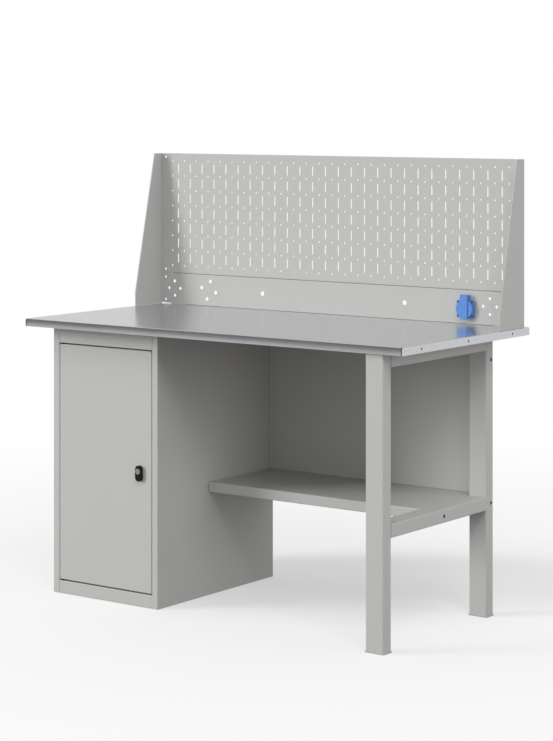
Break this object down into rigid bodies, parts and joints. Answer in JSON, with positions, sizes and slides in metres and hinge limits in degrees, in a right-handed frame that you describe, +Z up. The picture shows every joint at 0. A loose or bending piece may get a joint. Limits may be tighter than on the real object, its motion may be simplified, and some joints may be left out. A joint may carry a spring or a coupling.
{
  "type": "workbench with pegboard",
  "caption": "Painted steel workbench with a galvanised tray-edged worktop, lockable door cabinet, tube leg frame, lower shelf and a perforated back screen carrying a lidded mains socket.",
  "frame": {"origin": "on the floor under the middle of the worktop", "axes": "+X along the worktop to the right as seen from the front, +Y from the front to the back screen, +Z up"},
  "size_m": [1.4, 0.7, 1.36],
  "materials": {
    "worktop_steel": "galvanised sheet, faintly streaked along its length",
    "screen_paint": "satin light grey powder coat",
    "body_paint": "satin light grey powder coat",
    "frame_paint": "satin light grey powder coat",
    "board": "raw particle board",
    "zinc": "zinc plated",
    "dark_steel": "blackened",
    "nickel": "nickel plated",
    "brass": "bare",
    "black_plastic": "fine moulded grain",
    "foot_plastic": "moulded",
    "blue_plastic": "smooth moulded",
    "insert_plastic": "moulded",
    "rubber": "matt"
  },
  "bodies": {
    "bench": {"worktop_cover": "worktop_steel", "worktop_core": "board", "worktop_end_screws": "dark_steel", "worktop_fixing_screws": "zinc", "cabinet_left_side": "body_paint", "cabinet_right_side": "body_paint", "left_stile": "body_paint", "right_stile": "body_paint", "door_stop": "body_paint", "cabinet_top": "body_paint", "cabinet_floor": "body_paint", "cabinet_back": "body_paint", "plinth": "body_paint", "inner_shelf": "body_paint", "inner_shelf_rails": "body_paint", "hinge_pins": "zinc", "front_leg": "frame_paint", "rear_leg": "frame_paint", "upper_crossbar": "frame_paint", "lower_crossbar": "frame_paint", "leg_feet": "foot_plastic", "lower_shelf": "frame_paint", "modesty_panel": "body_paint", "modesty_screws": "zinc", "frame_bolts": "dark_steel", "frame_nuts": "zinc", "left_bracket": "screen_paint", "right_bracket": "screen_paint", "bracket_screws": "zinc", "pegboard": "screen_paint", "service_panel": "screen_paint", "panel_rivets": "screen_paint", "socket_body": "blue_plastic", "socket_gasket": "rubber", "socket_insert": "insert_plastic", "socket_contacts": "brass", "earth_clips": "brass", "lid_hinge_pin": "zinc", "lid_spring": "zinc", "socket_screws": "dark_steel", "socket_nuts": "zinc"},
    "door": {"door_skin": "body_paint", "door_stiffener": "body_paint", "door_buffers": "rubber", "hinge_bushes": "black_plastic", "lock_sleeve": "zinc", "lock_nut": "zinc"},
    "handle": {"lock_handle": "black_plastic", "lock_cam": "zinc", "cam_screw": "zinc"},
    "key_plug": {"lock_plug": "nickel"},
    "lid": {"socket_lid": "blue_plastic"}
  },
  "joints": [
    {"name": "door_swing", "type": "hinge", "parent": "bench", "child": "door", "pos_m": [-0.6, -0.285, 0.411], "axis": [0, 0, -1], "range_deg": [0, 110]},
    {"name": "handle_turn", "type": "hinge", "parent": "door", "child": "handle", "pos_m": [-0.2847, -0.29, 0.412], "axis": [0, -1, 0], "range_deg": [0, 90]},
    {"name": "key_turn", "type": "hinge", "parent": "handle", "child": "key_plug", "pos_m": [-0.2847, -0.2985, 0.412], "axis": [0, -1, 0], "range_deg": [0, 90]},
    {"name": "lid_lift", "type": "hinge", "parent": "bench", "child": "lid", "pos_m": [0.5005, 0.3084, 0.9376], "axis": [-1, 0, 0], "range_deg": [0, 90], "stiffness_Nm_per_rad": 0.01, "springref_deg": -28.65}
  ]
}
